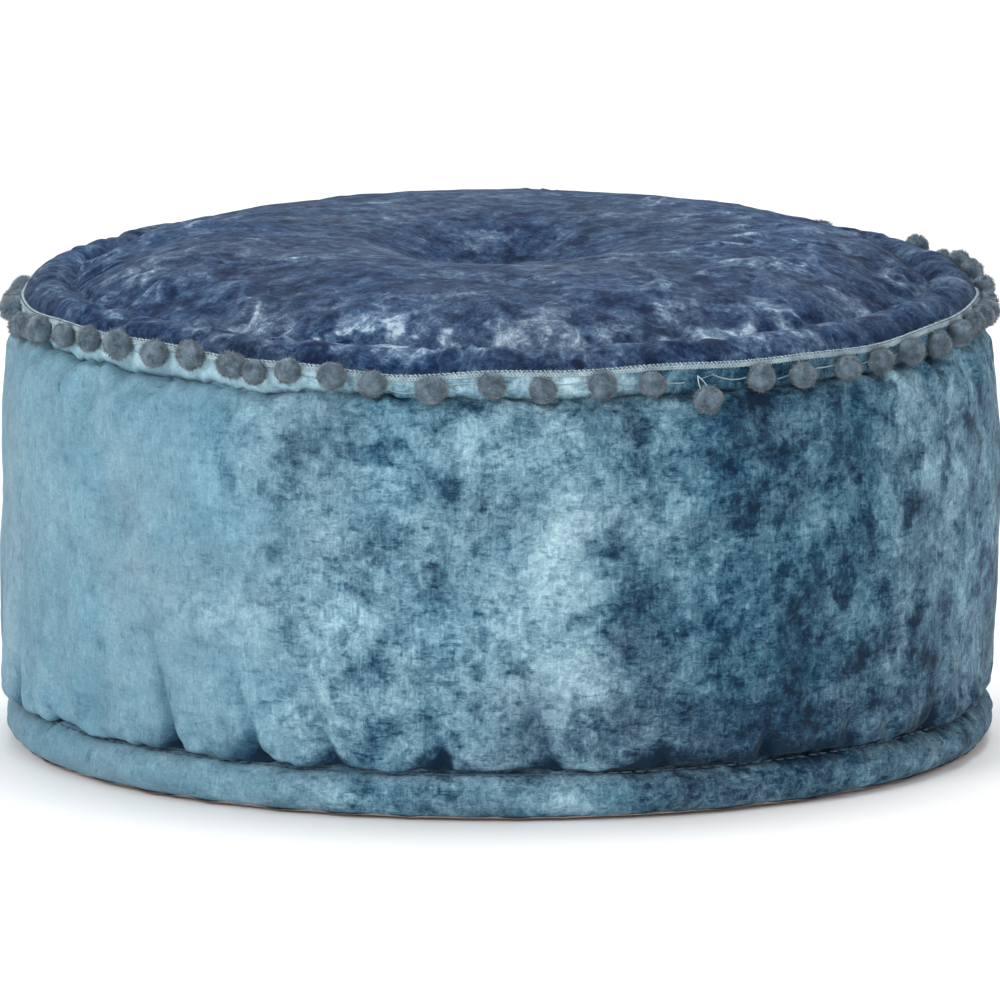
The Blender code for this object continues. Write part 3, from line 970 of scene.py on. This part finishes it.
def hairs(roots, directions, lengths, width):
    """Three-sided tapering hairs from roots, as one set of vertices and faces."""
    count = len(roots)
    helper = np.where(np.abs(directions[:, 2:]) < 0.9, [[0, 0, 1.0]], [[1.0, 0, 0]])
    across = np.cross(directions, helper)
    across /= np.linalg.norm(across, axis=1)[:, None]
    other = np.cross(directions, across)
    places = np.zeros((count, 4, 3))
    for side in range(3):
        turn = 2 * math.pi * side / 3
        places[:, side] = roots + width * (across * math.cos(turn) + other * math.sin(turn))
    places[:, 3] = roots + directions * lengths[:, None]
    first = 4 * np.arange(count)[:, None]
    faces = np.concatenate([first + [0, 1, 3], first + [1, 2, 3], first + [2, 0, 3]])
    return places.reshape(-1, 3), faces.tolist()


def unit_ball(level):
    """Points and triangles of a round ball."""
    shape = bmesh.new()
    bmesh.ops.create_icosphere(shape, subdivisions=level, radius=1)
    points = np.array([v.co for v in shape.verts])
    faces = [[v.index for v in face.verts] for face in shape.faces]
    shape.free()
    return points, faces


BALL = unit_ball(3)


def pompom(pieces, rng, centre, axes, radii, hair_count):
    """A yarn ball: a lumpy core under a coat of short cut ends."""
    points, faces = BALL
    lumps = 1 + 0.17 * smooth_noise(points + rng.uniform(-9, 9, 3), 0.9, 3, 2)
    core = (points * lumps[:, None] * 0.88) * radii
    pieces.add(centre + core @ axes, faces)
    ways = rng.normal(size=(hair_count, 3))
    ways /= np.linalg.norm(ways, axis=1)[:, None]
    tufts = smooth_noise(ways + rng.uniform(-9, 9, 3), 0.45, 4, 2)
    roots = centre + ((ways * 0.84) * radii) @ axes
    leaning = ways + rng.normal(scale=0.22, size=ways.shape)
    leaning /= np.linalg.norm(leaning, axis=1)[:, None]
    lengths = radii.mean() * rng.uniform(0.14, 0.28, hair_count) * (1 + 0.8 * tufts)
    pieces.add(*hairs(roots, leaning @ axes, lengths, HAIR_WIDTH))


def pompom_axes(azimuth, rng):
    """Along, out and up for a pompom, a little twisted."""
    angle = math.radians(azimuth)
    along = np.array([math.cos(angle), math.sin(angle), 0])
    out = np.array([math.sin(angle), -math.cos(angle), 0])
    up = np.array([0, 0, 1.0])
    tip = rng.uniform(-0.6, 0.6)
    return np.stack(
        [along * math.cos(tip) + up * math.sin(tip), out, up * math.cos(tip) - along * math.sin(tip)]
    )


POMPOM_COUNT = 60
POMPOMS_PER_RUN = 5
LOOSE_INDEX = 4
POMPOM_RADII = np.array([6.4, 5.2, 5.7]) * MM  # along the edge, out and up
HANG_ANGLE = -13  # on the top roll's section
# How many degrees each pompom strays from even spacing, from the one at azimuth 0 to the
# right, and from its left-hand neighbour to the left. The rest stray at random.
STRAY_RIGHT = (-1, -1, 0, 0, 2, 2, 2, 3, 3, 3, 4, 4, 3, 2)
STRAY_LEFT = (-2, -3, -2, -1.5, 0, 3, 3, 3.5, 3, 3, 3, 2, 3, 4)


# Azimuths at the back where a pompom has flopped up over the edge.
PEEPING = (141, 172)


def pompom_places(rng):
    """Azimuth, section angle on the top roll and size of each pompom."""
    found = []
    for index in range(POMPOM_COUNT):
        back = POMPOM_COUNT - 1 - index
        azimuth = wrapped_degrees(360.0 * index / POMPOM_COUNT)
        degrees = HANG_ANGLE + rng.uniform(-7, 6)
        if index < len(STRAY_RIGHT):
            azimuth += STRAY_RIGHT[index]
        elif back < len(STRAY_LEFT):
            azimuth += STRAY_LEFT[back]
        else:
            azimuth += rng.uniform(-1.5, 1.5)
        if -80 < azimuth < -17:
            degrees += 9
        degrees += 7 * bell(azimuth, -44, 15) + 6 * bell(azimuth, -12, 9)
        if 92 < azimuth < 124:
            degrees = rng.uniform(8, 24)
        if any(abs(azimuth - place) < 3 for place in PEEPING):
            degrees = 14
        found.append((azimuth, degrees, rng.uniform(0.93, 1.08)))
    return found


def make_fringe(materials, hair_count):
    """Twelve runs of pompoms with the slack lead thread that joins them."""
    rng = np.random.default_rng(23)
    spots = pompom_places(rng)
    for run in range(POMPOM_COUNT // POMPOMS_PER_RUN):
        pieces = Pieces()
        threads = Pieces()
        first = run * POMPOMS_PER_RUN
        for index in range(first, first + POMPOMS_PER_RUN):
            azimuth, degrees, size = spots[index]
            radii = POMPOM_RADII * size * rng.uniform(0.86, 1.10, 3)
            if index != LOOSE_INDEX:
                middle, _, _, _ = on_top_roll(azimuth, degrees, 0.82 * radii[1])
                pompom(pieces, rng, middle, pompom_axes(azimuth, rng), radii, hair_count)
                top = on_top_roll(azimuth, SEAM_ANGLE - 6, 0.5 * MM)[0]
                threads.add(*tube(np.linspace(top, middle, 4), LEAD_RADIUS, 5))
            ahead = spots[(index + 1) % POMPOM_COUNT]
            gap = wrapped_degrees(ahead[0] - azimuth)
            sag = rng.uniform(-4, 16)
            line = []
            for share in np.linspace(0, 1, 15):
                belly = math.sin(math.pi * share)
                turn = degrees + (ahead[1] - degrees) * share - sag * belly
                clear = 0.3 * MM + 0.4 * MM * belly
                line.append(on_top_roll(azimuth + gap * share, turn, clear)[0])
            threads.add(*tube(np.array(line), LEAD_RADIUS, 5))
        name = f"pompom_run_{run + 1:02d}"
        pieces.object(f"{name}_yarn", materials["yarn"], FIXED_BODY, "fringe_yarn", [name])
        threads.object(f"{name}_lead", materials["lead"], FIXED_BODY, "fringe_yarn")


def make_loose_pompom(materials, hair_count):
    """The pompom that hangs clear of the row on two slack threads."""
    rng = np.random.default_rng(31)
    low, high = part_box("loose_pompom")
    middle = np.array((low + high) / 2)
    radius = (high.z - low.z) / 2
    pivot = np.array(JOINT["pos_m"])
    azimuth = math.degrees(math.atan2(middle[0], -middle[1]))
    pieces = Pieces()
    radii = np.array([1.06, 0.92, 0.98]) * radius
    pompom(pieces, rng, middle, pompom_axes(azimuth, rng), radii, hair_count)
    pieces.object(
        "loose_pompom_yarn", materials["yarn"], SWINGING_BODY, "fringe_yarn", ["loose_pompom"]
    )
    along = np.array([math.cos(math.radians(azimuth)), math.sin(math.radians(azimuth)), 0])
    threads = Pieces()
    for side in (-1, 1):
        points = []
        for share in np.linspace(0, 1, 12):
            spread = side * 1.6 * MM * math.sin(math.pi * share) * (1 + 0.3 * side)
            points.append(pivot * (1 - share) + middle * share + along * spread)
        threads.add(*tube(np.array(points), LOOSE_THREAD_RADIUS, 5))
    threads.object(
        "loose_pompom_threads", materials["braid"], SWINGING_BODY, "fringe_yarn", ["loose_strand"]
    )


def make_button(name, node, material, slot, pleats):
    """A cloth-covered button: a low dome whose cover is drawn in small pleats at its rim."""
    low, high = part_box(node)
    radius = (high.x - low.x) / 2
    path = [(AXIS_GAP, high.z)]
    for turn in np.linspace(4, 176, 30):
        angle = math.radians(turn)
        reach = radius * math.sin(angle) ** 0.7
        path.append((reach, (low.z + high.z) / 2 + (high.z - low.z) / 2 * math.cos(angle)))
    path.append((AXIS_GAP, low.z))
    cloth = Turned(np.array(path), pitch=0.35 * MM, steps=144, easing=1)
    rim = smooth_step(cloth.rows[:, 0], radius * 0.5, radius)[:, None]
    angle = np.radians(cloth.azimuth)[None, :]
    cloth.push += rim * 0.25 * MM * np.abs(np.sin(angle * pleats / 2)) - 0.25 * MM * rim
    pile = np.full(cloth.push.shape, 0.35)
    crush = np.full(cloth.push.shape, 0.8)
    return turned_object(
        name, cloth, material, FIXED_BODY, slot, [node], pile=pile, crush=crush
    )


# ---------------------------------------------------------------- inside the cover


def make_inner_bag(material):
    """The stuffed calico bag that fills the cover."""
    low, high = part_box("stuffing")
    inset = 6 * MM
    reach = high.x - inset
    foot = outer_radius("liner_base") - inset
    top = high.z - inset
    shoulder = outer_radius("liner_top") - inset
    hollow = heights("tufting_twine")[1] - 9 * MM
    path = [(AXIS_GAP, hollow), (0.018, hollow + 2 * MM), (0.05, top - 8 * MM)]
    path += [(0.08, top), (shoulder * 0.75, top - 3 * MM), (shoulder, top - 30 * MM)]
    path += [(reach - 8 * MM, top - 46 * MM), (reach, top - 60 * MM), (reach, 0.04)]
    path += [(foot, low.z + 22 * MM), (foot - 6 * MM, low.z + 8 * MM), (0.03, low.z + 8 * MM)]
    path += [(AXIS_GAP, low.z + 11 * MM)]
    cloth = Turned(np.array(path), pitch=5 * MM, steps=180, easing=4)
    cloth.push += 1.2 * MM * smooth_noise(cloth.places, 30 * MM, 71, 2)
    made = turned_object(
        "calico_bag",
        cloth,
        material,
        FIXED_BODY,
        "calico",
        ["liner_top", "liner_wall", "liner_base", "stuffing"],
    )
    return made


def make_wadding(name, node, material):
    """A rope of loose wadding inside a rolled edge."""
    centre, radius = roll_section(node)
    slim = radius - 1.2 * MM
    pieces = Pieces()
    points = []
    for azimuth in np.linspace(-180, 180, 241):
        points.append(frame_at(azimuth, centre, 0, 0)[0])
    places, faces = tube(np.array(points), slim, 12)
    middle = np.repeat(np.array(points), 12, axis=0)
    lumps = 1 + 0.12 * smooth_noise(places, 14 * MM, 81, 2)
    pieces.add(middle + (places - middle) * lumps[:, None], faces)
    made = pieces.object(name, material, FIXED_BODY, "fibre_fill", [node])
    return made


# ---------------------------------------------------------------- materials


class Paint:
    """One material's node tree, with short ways to add and join its nodes."""

    def __init__(self, name):
        self.material = bpy.data.materials.new(name)
        self.material.use_nodes = True
        self.tree = self.material.node_tree
        self.shader = self.tree.nodes["Principled BSDF"]

    def set(self, node, socket, value):
        if isinstance(value, bpy.types.NodeSocket):
            self.tree.links.new(value, node.inputs[socket])
        else:
            node.inputs[socket].default_value = value

    def node(self, kind, output=0, inputs=(), **settings):
        made = self.tree.nodes.new(kind)
        for key, value in settings.items():
            setattr(made, key, value)
        for socket, value in dict(inputs).items():
            self.set(made, socket, value)
        return made.outputs[output]

    def math(self, operation, first, second=0.0, third=None):
        inputs = {0: first, 1: second}
        if third is not None:
            inputs[2] = third
        return self.node("ShaderNodeMath", inputs=inputs, operation=operation)

    def places(self, stretch=(1, 1, 1)):
        coords = self.node("ShaderNodeTexCoord", output="Object")
        return self.node(
            "ShaderNodeMapping", inputs={"Vector": coords, "Scale": stretch}
        )

    def noise(self, size, detail=3.0, rough=0.55, stretch=(1, 1, 1), twist=0.0):
        return self.node(
            "ShaderNodeTexNoise",
            inputs={
                "Vector": self.places(stretch),
                "Scale": 1 / size,
                "Detail": detail,
                "Roughness": rough,
                "Distortion": twist,
            },
        )

    def between(self, value, low, high, amount):
        """Nothing at low, growing to the amount at high."""
        return self.node(
            "ShaderNodeMapRange",
            inputs={"Value": value, "From Min": low, "From Max": high, "To Min": 0.0, "To Max": amount},
        )

    def ramp(self, value, stops):
        made = self.tree.nodes.new("ShaderNodeValToRGB")
        self.set(made, 0, value)
        points = made.color_ramp.elements
        while len(points) < len(stops):
            points.new(0.5)
        for point, (place, colour) in zip(points, stops):
            point.position = place
            point.color = (*colour, 1)
        return made.outputs[0]

    def ribs(self, count, along=0):
        """Ridges down the cloth: a sine across the whole turn, count times round."""
        uv = self.node("ShaderNodeUVMap", uv_map="grain")
        parts = self.tree.nodes.new("ShaderNodeSeparateXYZ")
        self.set(parts, 0, uv)
        turn = self.math("MULTIPLY", parts.outputs[along], 2 * math.pi * count)
        return self.math("SINE", turn)

    def bump(self, height, distance, strength=1.0, under=None):
        inputs = {"Height": height, "Distance": distance, "Strength": strength}
        if under is not None:
            inputs["Normal"] = under
        return self.node("ShaderNodeBump", inputs=inputs)

    def finish(self, colour, roughness, normal=None, **constant):
        self.set(self.shader, "Base Color", colour)
        self.set(self.shader, "Roughness", roughness)
        if normal is not None:
            self.set(self.shader, "Normal", normal)
        for socket, value in constant.items():
            self.set(self.shader, socket.replace("_", " "), value)
        return self.material


TEAL_PILE = (
    (0.00, (0.006, 0.020, 0.042)),
    (0.20, (0.018, 0.058, 0.105)),
    (0.42, (0.072, 0.160, 0.225)),
    (0.62, (0.165, 0.300, 0.380)),
    (0.85, (0.330, 0.510, 0.590)),
    (1.00, (0.500, 0.690, 0.760)),
)
NAVY_PILE = (
    (0.00, (0.006, 0.013, 0.036)),
    (0.25, (0.016, 0.036, 0.086)),
    (0.50, (0.044, 0.082, 0.150)),
    (0.75, (0.130, 0.195, 0.280)),
    (1.00, (0.360, 0.460, 0.550)),
)


def crushed_velvet(name, tones, patch, hatch_amount, highlight_line_amount, bar_amount, rib_count, sheen_tint):
    """Velvet whose pile was pressed flat in patches: tone and relief follow the same noise.

    The point values pile and crush give each place its tone, with painted shade and highlights in it,
    and how mottled it is. Clouds, flecks and hatch are the mottle from broad to fine; blots, bars and
    ticks darken it, lines are painted highlights along its creases, and grain and ribs are the cloth's
    own texture.
    """
    paint = Paint(name)
    # The point tone holds the pile's own tone together with painted shade and painted highlights.
    pile = paint.node("ShaderNodeAttribute", output="Fac", attribute_name="pile")
    crush = paint.node("ShaderNodeAttribute", output="Fac", attribute_name="crush")
    clouds = paint.noise(patch, 8, 0.66, twist=0.3)
    flecks = paint.noise(4.5 * MM, 6, 0.72, twist=0.8)
    across = paint.noise(2.4 * MM, 3, 0.65, stretch=(1, 1, 3.4))
    down = paint.noise(1.2 * MM, 3, 0.65, stretch=(1, 1, 0.20))
    hatch = paint.math("SUBTRACT", paint.math("MAXIMUM", across, down), 0.56)
    grain = paint.noise(0.8 * MM, 2, 0.6)
    ribs = paint.math("MULTIPLY", paint.ribs(rib_count), paint.ribs(rib_count, along=1))
    mottle = paint.math("MULTIPLY", paint.math("SUBTRACT", clouds, 0.5), 1.15)
    mottle = paint.math("MULTIPLY_ADD", paint.math("SUBTRACT", flecks, 0.5), 0.85, mottle)
    mottle = paint.math("MULTIPLY_ADD", hatch, hatch_amount, mottle)
    blots = paint.between(paint.noise(0.6 * patch, 5, 0.6), 0.52, 0.68, -0.28)
    mottle = paint.math("ADD", mottle, blots)
    # Lines: thin pale creases, painted highlights.
    lines = paint.noise(1.1 * patch, 7, 0.62, twist=0.5)
    lines = paint.math("ABSOLUTE", paint.math("SUBTRACT", lines, 0.5))
    lines = paint.between(lines, 0.045, 0.0, highlight_line_amount)
    mottle = paint.math("ADD", mottle, lines)
    bars = paint.noise(8 * MM, 5, 0.62, stretch=(1, 1, 2.7), twist=0.3)
    mottle = paint.math("ADD", mottle, paint.between(bars, 0.54, 0.68, -bar_amount))
    tone = paint.math("MULTIPLY_ADD", mottle, crush, pile)
    ticks = paint.noise(3.2 * MM, 2, 0.5, stretch=(1, 1, 0.42), twist=0.2)
    smooth = paint.math("MAXIMUM", paint.math("SUBTRACT", 1.0, crush), 0.0)
    tone = paint.math("MULTIPLY_ADD", paint.between(ticks, 0.62, 0.74, -0.16), smooth, tone)
    tone = paint.math("MULTIPLY_ADD", hatch, 0.20, tone)
    tone = paint.math("MULTIPLY_ADD", paint.math("SUBTRACT", grain, 0.5), 0.16, tone)
    tone = paint.math("MULTIPLY_ADD", ribs, 0.012, tone)
    colour = paint.ramp(tone, tones)
    drift = paint.noise(65 * MM, 3, 0.6)
    colour = paint.node(
        "ShaderNodeHueSaturation",
        inputs={"Color": colour, "Saturation": paint.math("MULTIPLY_ADD", drift, -0.6, 1.27)},
    )
    rough = paint.math("MULTIPLY_ADD", flecks, -0.25, 0.80)
    normal = paint.bump(flecks, 1.3 * MM, 0.5)
    normal = paint.bump(hatch, 0.35 * MM, 0.5, normal)
    return paint.finish(
        colour,
        rough,
        normal,
        Sheen_Weight=0.10,
        Sheen_Roughness=0.35,
        Sheen_Tint=(*sheen_tint, 1),
        Specular_IOR_Level=0.06,
    )


def plain_weave(name, dark, light, threads_across):
    """Coarse cotton cloth: warp and weft threads with slubs."""
    paint = Paint(name)
    warp = paint.ribs(threads_across)
    weft = paint.ribs(threads_across, along=1)
    slub = paint.noise(5 * MM, 4, 0.6)
    weave = paint.math("MULTIPLY", warp, weft)
    tone = paint.math("MULTIPLY_ADD", weave, 0.12, slub)
    colour = paint.ramp(tone, ((0.25, dark), (0.75, light)))
    normal = paint.bump(weave, 0.25 * MM, 0.6)
    return paint.finish(colour, 0.92, normal, Specular_IOR_Level=0.2)


def yarn(name, dark, light, sheen):
    """Spun yarn: fine fibres with soft pale edges."""
    paint = Paint(name)
    fibre = paint.noise(0.8 * MM, 3, 0.7)
    patch = paint.noise(5 * MM, 2, 0.5)
    tone = paint.math("MULTIPLY_ADD", patch, 0.6, paint.math("MULTIPLY", fibre, 0.5))
    colour = paint.ramp(tone, ((0.35, dark), (0.75, light)))
    normal = paint.bump(fibre, 0.2 * MM, 0.5)
    return paint.finish(
        colour, 0.95, normal, Sheen_Weight=sheen, Sheen_Roughness=0.5, Specular_IOR_Level=0.15
    )


def floor_paint():
    paint = Paint("pale_floor")
    tone = paint.noise(400 * MM, 2)
    colour = paint.ramp(tone, ((0.3, (0.93, 0.93, 0.93)), (0.7, (0.95, 0.95, 0.95))))
    return paint.finish(colour, 0.9, Specular_IOR_Level=0.0)


# ---------------------------------------------------------------- studio


def make_camera():
    angle = math.radians(CAMERA_ELEVATION)
    data = bpy.data.cameras.new("camera")
    data.sensor_width = SENSOR_WIDTH * 1000
    data.lens = 1000 * SENSOR_WIDTH * CAMERA_DISTANCE / VIEW_WIDTH
    data.clip_end = 100
    camera = bpy.data.objects.new("camera", data)
    aim = Vector((0, 0, CAMERA_AIM_HEIGHT))
    back = Vector((0, -math.cos(angle), math.sin(angle)))
    camera.location = aim + back * CAMERA_DISTANCE
    camera.rotation_mode = "QUATERNION"
    camera.rotation_quaternion = (-back).to_track_quat("-Z", "Y")
    bpy.context.scene.collection.objects.link(camera)
    bpy.context.scene.camera = camera


def area_light(name, place, width, power):
    data = bpy.data.lights.new(name, "AREA")
    data.shape = "DISK"
    data.size = width
    data.energy = power
    lamp = bpy.data.objects.new(name, data)
    lamp.location = place
    aim = LAMP_AIM - Vector(place)
    lamp.rotation_mode = "QUATERNION"
    lamp.rotation_quaternion = aim.to_track_quat("-Z", "Y")
    bpy.context.scene.collection.objects.link(lamp)


def make_studio():
    world = bpy.data.worlds.new("studio")
    world.use_nodes = True
    background = world.node_tree.nodes["Background"]
    background.inputs["Color"].default_value = (1, 1, 1, 1)
    background.inputs["Strength"].default_value = SKY_STRENGTH
    bpy.context.scene.world = world
    bpy.context.scene.view_settings.view_transform = "Standard"
    for lamp in LAMPS:
        area_light(*lamp)
    half = FLOOR_HALF_WIDTH
    corners = np.array([[-half, -half, 0], [half, -half, 0], [half, half, 0], [-half, half, 0]])
    mesh = bpy.data.meshes.new("floor")
    mesh.from_pydata(corners.tolist(), [], [[0, 1, 2, 3]])
    mesh.materials.append(floor_paint())
    floor = bpy.data.objects.new("floor", mesh)
    floor.location.z = -FLOOR_DROP
    bpy.context.scene.collection.objects.link(floor)


# ---------------------------------------------------------------- everything


def main():
    make_camera()
    make_studio()
    materials = {
        "teal": crushed_velvet(
            "teal_velvet", TEAL_PILE, 26 * MM, 0.50, 0.0, 0.20, 1100, (0.75, 0.90, 1.0)
        ),
        "navy": crushed_velvet(
            "navy_velvet", NAVY_PILE, 16 * MM, 0.35, 0.15, 0.0, 900, (0.5, 0.7, 1.0)
        ),
        "canvas": plain_weave("base_canvas", (0.34, 0.28, 0.26), (0.60, 0.52, 0.49), 1500),
        "calico": plain_weave("calico", (0.52, 0.48, 0.40), (0.74, 0.70, 0.62), 1500),
        "yarn": yarn("fringe_yarn", (0.030, 0.052, 0.072), (0.165, 0.225, 0.275), 0.3),
        "lead": yarn("lead_thread", (0.14, 0.24, 0.29), (0.36, 0.50, 0.56), 0.3),
        "braid": yarn("braid_yarn", (0.19, 0.29, 0.34), (0.50, 0.62, 0.68), 0.4),
        "thread": yarn("blue_thread", (0.022, 0.045, 0.085), (0.070, 0.120, 0.180), 0.1),
        "fibre": yarn("fibre_fill", (0.60, 0.59, 0.56), (0.85, 0.84, 0.82), 0.3),
    }
    hair_count = POMPOM_HAIRS
    wall_piece, wall = make_wall(materials["teal"])
    seat_piece, seat = make_seat(materials["navy"], wall)
    base_piece, base = make_base(materials["canvas"])
    rng = np.random.default_rng(2)
    make_braid(materials["braid"], rng)
    make_topstitch(materials["thread"], rng)
    for node in ("seat_crease_stitching", "top_crease_stitching", "base_crease_stitching"):
        make_crease_stitching(node.replace("stitching", "stitches"), node, materials["thread"], rng)
    make_wall_seam(materials["thread"], wall)
    make_fringe(materials, hair_count)
    make_loose_pompom(materials, hair_count)
    make_button("covered_seat_button", "seat_button", materials["navy"], "navy_velvet", 18)
    make_button("covered_base_button", "base_button", materials["canvas"], "base_canvas", 14)
    make_inner_bag(materials["calico"])
    make_wadding("top_edge_filling", "top_edge_wadding", materials["fibre"])
    make_wadding("base_edge_filling", "base_edge_wadding", materials["fibre"])
    frame["nodes"]["tufting_twine"].data.materials.clear()
    frame["nodes"]["tufting_twine"].data.materials.append(materials["braid"])


main()
